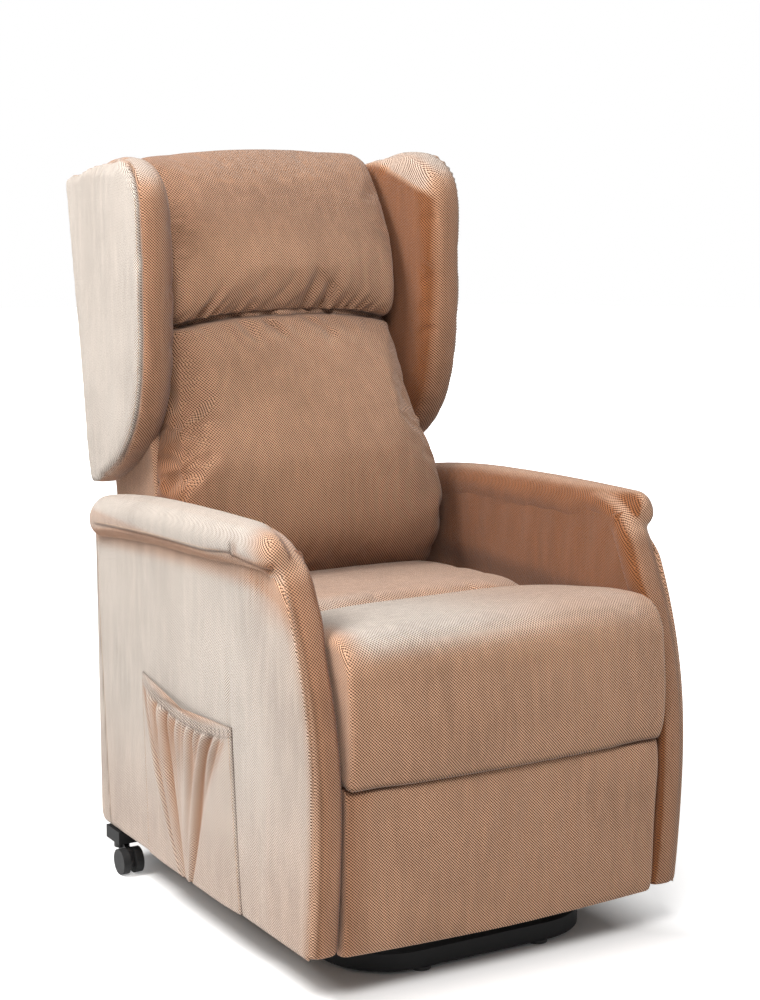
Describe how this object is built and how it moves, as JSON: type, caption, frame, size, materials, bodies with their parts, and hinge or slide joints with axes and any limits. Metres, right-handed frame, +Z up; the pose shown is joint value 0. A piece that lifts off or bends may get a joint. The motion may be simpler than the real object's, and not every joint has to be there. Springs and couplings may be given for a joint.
{
  "type": "lift recliner chair",
  "caption": "Powered wing armchair in woven cloth that reclines, raises its leg rest and tips the whole seat forward on a steel base ring with rear casters.",
  "frame": {"origin": "on the floor, under the middle of the overall box", "axes": "+Z up, -Y towards the front of the chair, +X to the right as seen from the front"},
  "size_m": [0.644, 0.8611, 1.0977],
  "materials": {
    "base_paint": "satin black paint",
    "mechanism_paint": "satin dark grey paint",
    "glide_rubber": "matte",
    "drive_plastic": "matte",
    "rod_steel": "satin",
    "bolt_steel": "zinc plated",
    "caster_plastic": "matte",
    "caster_tyre": "matte",
    "frame_wood": "unfinished",
    "webbing": "woven elastic",
    "cloth": "coarse basket weave of tan and dark brown yarn"
  },
  "bodies": {
    "base": {"base_ring": "base_paint", "base_rear_bar": "base_paint", "front_glides": "glide_rubber", "lift_bracket_left": "base_paint", "lift_bracket_right": "base_paint", "lift_actuator": "drive_plastic"},
    "lift_rod": {"lift_rod": "rod_steel"},
    "lift_arms": {"lift_arm_left": "mechanism_paint", "lift_arm_right": "mechanism_paint", "lift_cross_tube": "mechanism_paint"},
    "lift_links": {"lift_link_left": "mechanism_paint", "lift_link_right": "mechanism_paint"},
    "caster_swivel_left": {"caster_hood_left": "caster_plastic"},
    "caster_swivel_right": {"caster_hood_right": "caster_plastic"},
    "caster_roll_left": {"caster_wheels_left": "caster_tyre"},
    "caster_roll_right": {"caster_wheels_right": "caster_tyre"},
    "carriage": {"mech_plate_left": "mechanism_paint", "mech_plate_right": "mechanism_paint", "carriage_tube_front": "mechanism_paint", "carriage_tube_rear": "mechanism_paint", "seat_rail_front": "frame_wood", "seat_rail_rear": "frame_wood", "seat_side_left": "frame_wood", "seat_side_right": "frame_wood", "seat_webbing": "webbing", "seat_cushion": "cloth", "seat_front_cushion": "cloth", "control_box": "drive_plastic", "arm_bolts": "bolt_steel", "arm_core_left": "frame_wood", "arm_core_right": "frame_wood", "arm_outer_left": "cloth", "arm_outer_right": "cloth", "arm_inner_left": "cloth", "arm_inner_right": "cloth", "arm_pad_left": "cloth", "arm_pad_right": "cloth", "side_pocket": "cloth", "recline_actuator": "drive_plastic", "legrest_actuator": "drive_plastic"},
    "recline_rod": {"recline_rod": "rod_steel"},
    "legrest_rod": {"legrest_rod": "rod_steel"},
    "back": {"back_stiles": "frame_wood", "back_rail_top": "frame_wood", "back_rail_bottom": "frame_wood", "back_webbing": "webbing", "recline_lug": "mechanism_paint", "lumbar_cushion": "cloth", "head_cushion": "cloth", "wing_left": "cloth", "wing_right": "cloth", "back_cover": "cloth", "back_bracket_left": "mechanism_paint", "back_bracket_right": "mechanism_paint"},
    "legrest": {"legrest_board": "frame_wood", "legrest_upper_pad": "cloth", "legrest_lower_pad": "cloth", "legrest_lug": "mechanism_paint", "legrest_strap_left": "mechanism_paint", "legrest_strap_right": "mechanism_paint"}
  },
  "joints": [
    {"name": "lift", "type": "hinge", "parent": "base", "child": "lift_arms", "pos_m": [0, -0.262, 0.128], "axis": [1, 0, 0], "range_deg": [0, 52]},
    {"name": "carriage_tilt", "type": "hinge", "parent": "lift_arms", "child": "carriage", "pos_m": [0, 0.09, 0.15], "axis": [1, 0, 0], "range_deg": [-26.1, 0]},
    {"name": "link_swing", "type": "hinge", "parent": "base", "child": "lift_links", "pos_m": [0, -0.29, 0.15], "axis": [1, 0, 0], "range_deg": [0, 53.6]},
    {"name": "lift_stroke", "type": "slide", "parent": "base", "child": "lift_rod", "axis": [0, -0.9384, 0.3456], "range_m": [0, 0.0945]},
    {"name": "recline", "type": "hinge", "parent": "carriage", "child": "back", "pos_m": [0, 0.228, 0.392], "axis": [-1, 0, 0], "range_deg": [0, 45]},
    {"name": "recline_stroke", "type": "slide", "parent": "carriage", "child": "recline_rod", "axis": [0, -0.9907, -0.1357], "range_m": [0, 0.0752]},
    {"name": "legrest_raise", "type": "hinge", "parent": "carriage", "child": "legrest", "pos_m": [0, -0.404, 0.444], "axis": [-1, 0, 0], "range_deg": [0, 75]},
    {"name": "legrest_stroke", "type": "slide", "parent": "carriage", "child": "legrest_rod", "axis": [0, -0.9753, 0.221], "range_m": [0, 0.1612]},
    {"name": "caster_swivel_left_turn", "type": "hinge", "parent": "base", "child": "caster_swivel_left", "pos_m": [-0.291, 0.232, 0.046], "axis": [0, 0, 1], "continuous": true},
    {"name": "caster_swivel_right_turn", "type": "hinge", "parent": "base", "child": "caster_swivel_right", "pos_m": [0.291, 0.232, 0.046], "axis": [0, 0, 1], "continuous": true},
    {"name": "caster_roll_left_turn", "type": "hinge", "parent": "caster_swivel_left", "child": "caster_roll_left", "pos_m": [-0.291, 0.205, 0.02], "axis": [1, 0, 0], "continuous": true},
    {"name": "caster_roll_right_turn", "type": "hinge", "parent": "caster_swivel_right", "child": "caster_roll_right", "pos_m": [0.291, 0.205, 0.02], "axis": [1, 0, 0], "continuous": true}
  ],
  "couplings": [
    {"joint": "carriage_tilt", "follows": "lift", "ratio": -0.5},
    {"joint": "link_swing", "follows": "lift", "ratio": 1.0275},
    {"joint": "lift_stroke", "follows": "lift", "m_per_rad": 0.10347},
    {"joint": "recline_stroke", "follows": "recline", "m_per_rad": 0.09554},
    {"joint": "legrest_stroke", "follows": "legrest_raise", "m_per_rad": 0.12295}
  ]
}
